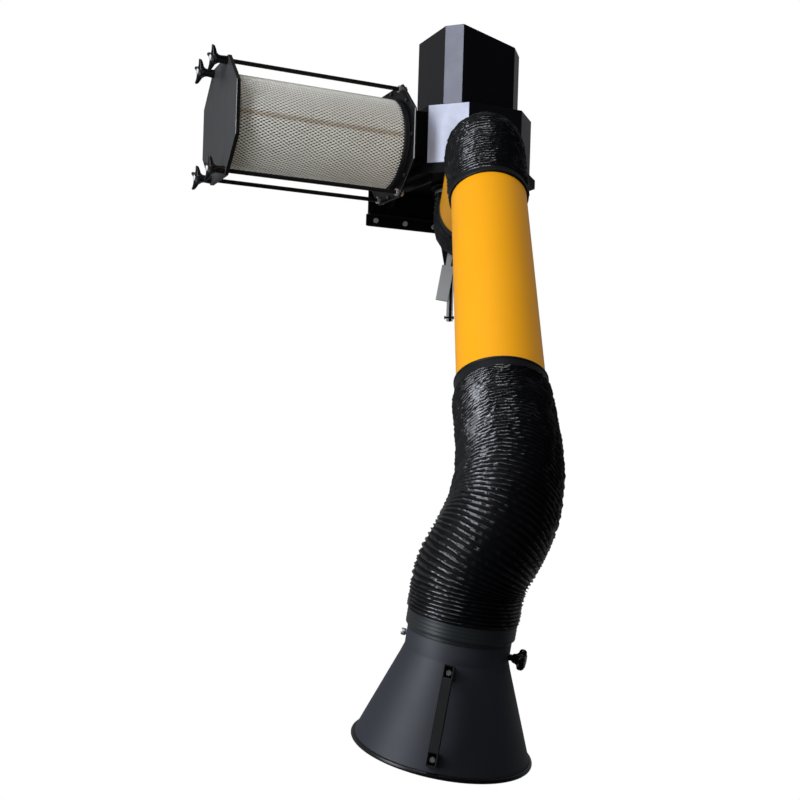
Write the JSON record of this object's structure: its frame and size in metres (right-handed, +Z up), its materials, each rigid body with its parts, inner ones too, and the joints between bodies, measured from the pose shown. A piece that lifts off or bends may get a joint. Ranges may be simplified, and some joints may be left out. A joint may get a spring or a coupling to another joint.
{
  "type": "fume extractor",
  "caption": "Wall-mounted fume extractor: fan and filter cartridge on a wall plate, swivelling jointed suction arm with ribbed hoses and a conical hood.",
  "frame": {"origin": "middle of the wall plate's back face", "axes": "+Z up, +Y into the wall, +X to the right when facing the wall"},
  "size_m": [1.0939, 1.6632, 1.6391],
  "materials": {
    "dark_steel": "satin dark grey powder coat",
    "black_steel": "satin black paint",
    "plain_steel": "plain rolled steel",
    "zinc_steel": "bright zinc plate",
    "black_rod": "black threaded rod",
    "motor_alloy": "cast",
    "seal_rubber": "matt",
    "nylon": "plain",
    "cream_mesh": "cream coated expanded metal",
    "filter_paper": "pleated fleece",
    "hose_rubber": "glossy black",
    "grey_plastic": "moulded grey",
    "yellow_paint": "satin amber powder coat",
    "black_band": "black band",
    "charcoal_paint": "satin charcoal powder coat",
    "charcoal_trim": "satin",
    "black_plastic": "moulded black"
  },
  "bodies": {
    "base": {"wall_plate": "black_steel", "plate_rail": "black_steel", "rail_bolts": "zinc_steel", "support_arms": "dark_steel", "base_tray": "dark_steel", "slip_ring": "nylon", "base_lip": "dark_steel", "fan_housing": "black_steel", "inlet_cone": "plain_steel", "outlet_duct": "black_steel", "motor_housing": "black_steel", "motor_body": "motor_alloy", "filter_flange": "dark_steel", "flange_bolts": "zinc_steel", "filter_gasket": "seal_rubber", "tie_rods": "black_rod", "rod_nuts": "zinc_steel"},
    "rotor": {"impeller": "plain_steel", "rotor_shaft": "plain_steel"},
    "filter": {"end_plate": "dark_steel", "cartridge_cap": "dark_steel", "cartridge_rim": "dark_steel", "guard_mesh": "cream_mesh", "filter_pleats": "filter_paper"},
    "swivel": {"swivel_collar": "dark_steel", "swivel_hanger": "dark_steel", "shoulder_fork": "plain_steel", "shoulder_pin": "plain_steel", "stay_pin": "zinc_steel", "spigot_clamp": "zinc_steel", "base_hose": "hose_rubber"},
    "spring_stay": {"stay_links": "plain_steel", "stay_sleeve": "grey_plastic"},
    "upper_arm": {"upper_tube": "yellow_paint", "shoulder_tang": "plain_steel", "elbow_fork": "plain_steel", "elbow_pin": "plain_steel", "upper_hose_clamps": "black_band", "elbow_hose": "hose_rubber"},
    "lower_arm": {"lower_tube": "yellow_paint", "elbow_tang": "plain_steel", "lower_hose_clamps": "black_band", "head_stay": "plain_steel", "head_pin": "plain_steel", "head_hose": "hose_rubber"},
    "head": {"head_rod": "plain_steel", "head_collar": "charcoal_paint"},
    "hood": {"hood_cone": "charcoal_paint", "rim_trim": "charcoal_trim", "handle": "black_plastic", "handle_screws": "zinc_steel"},
    "damper": {"damper_disc": "plain_steel", "damper_spindle": "zinc_steel", "damper_knob": "black_plastic"},
    "knob_front_lower": {"star_knob_front_lower": "black_plastic"},
    "knob_front_upper": {"star_knob_front_upper": "black_plastic"},
    "knob_back_lower": {"star_knob_back_lower": "black_plastic"},
    "knob_back_upper": {"star_knob_back_upper": "black_plastic"}
  },
  "joints": [
    {"name": "rotor_spin", "type": "hinge", "parent": "base", "child": "rotor", "pos_m": [0, -0.2, 0.1], "axis": [0, 0, 1], "continuous": true},
    {"name": "filter_slide", "type": "slide", "parent": "base", "child": "filter", "axis": [-1, 0, 0], "range_m": [0, 0.53]},
    {"name": "arm_swivel", "type": "hinge", "parent": "base", "child": "swivel", "pos_m": [0, -0.2, -0.06], "axis": [0, 0, 1], "range_deg": [-10, 110]},
    {"name": "stay_swing", "type": "hinge", "parent": "swivel", "child": "spring_stay", "pos_m": [0.01755, -0.08902, -0.243], "axis": [-0.4226, -0.9063, 0], "range_deg": [-20, 20]},
    {"name": "shoulder", "type": "hinge", "parent": "swivel", "child": "upper_arm", "pos_m": [0, -0.2, -0.205], "axis": [0.9063, -0.4226, 0], "range_deg": [-6, 40], "deforming": ["base_hose"]},
    {"name": "elbow", "type": "hinge", "parent": "upper_arm", "child": "lower_arm", "pos_m": [-0.29794, -0.83893, -0.12505], "axis": [0.9063, -0.4226, 0], "range_deg": [-40, 50], "deforming": ["elbow_hose"]},
    {"name": "head_tilt", "type": "hinge", "parent": "lower_arm", "child": "head", "pos_m": [-0.60473, -1.48501, -0.8653], "axis": [0.9063, -0.4226, 0], "range_deg": [-35, 35], "deforming": ["head_hose"]},
    {"name": "hood_turn", "type": "hinge", "parent": "head", "child": "hood", "pos_m": [-0.71557, -1.53815, -1.0973], "axis": [0.0904, -0.1109, 0.9897], "continuous": true},
    {"name": "damper_turn", "type": "hinge", "parent": "hood", "child": "damper", "pos_m": [-0.71575, -1.53792, -1.09928], "axis": [0.7394, -0.6582, -0.1413], "range_deg": [0, 90]},
    {"name": "knob_turn_front_lower", "type": "hinge", "parent": "filter", "child": "knob_front_lower", "pos_m": [-0.76, -0.262, -0.1153], "axis": [-1, 0, 0], "continuous": true},
    {"name": "knob_turn_front_upper", "type": "hinge", "parent": "filter", "child": "knob_front_upper", "pos_m": [-0.76, -0.262, 0.1687], "axis": [-1, 0, 0], "continuous": true},
    {"name": "knob_turn_back_lower", "type": "hinge", "parent": "filter", "child": "knob_back_lower", "pos_m": [-0.76, -0.138, -0.1153], "axis": [-1, 0, 0], "continuous": true},
    {"name": "knob_turn_back_upper", "type": "hinge", "parent": "filter", "child": "knob_back_upper", "pos_m": [-0.76, -0.138, 0.1687], "axis": [-1, 0, 0], "continuous": true}
  ]
}
